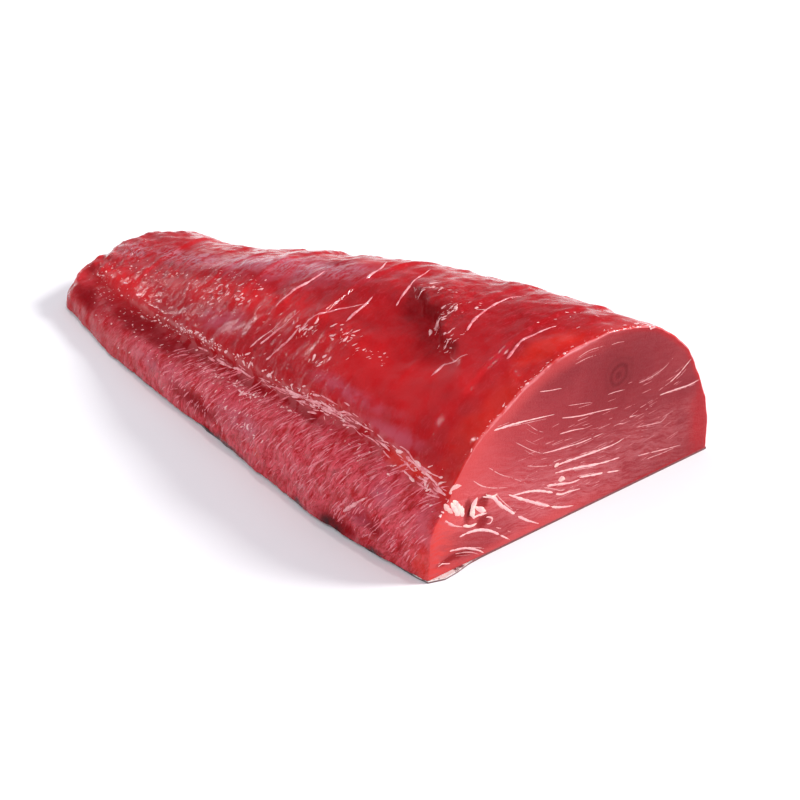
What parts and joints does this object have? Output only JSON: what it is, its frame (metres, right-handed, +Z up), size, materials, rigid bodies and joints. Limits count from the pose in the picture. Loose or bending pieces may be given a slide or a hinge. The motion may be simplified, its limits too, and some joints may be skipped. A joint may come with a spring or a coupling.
{
  "type": "raw tuna loin piece",
  "caption": "Raw tuna loin piece: the tail end of a loin, cut square across at its thick end, lying on its skin.",
  "frame": {"origin": "middle of the base, on the surface that the skin lies on", "axes": "+X towards the cut face, +Z up"},
  "size_m": [0.297, 0.1598, 0.0768],
  "materials": {
    "flesh": "moist raw flesh",
    "skin": "silvery fish skin"
  },
  "bodies": {
    "root": {"flesh": "flesh", "skin": "skin"}
  },
  "joints": []
}
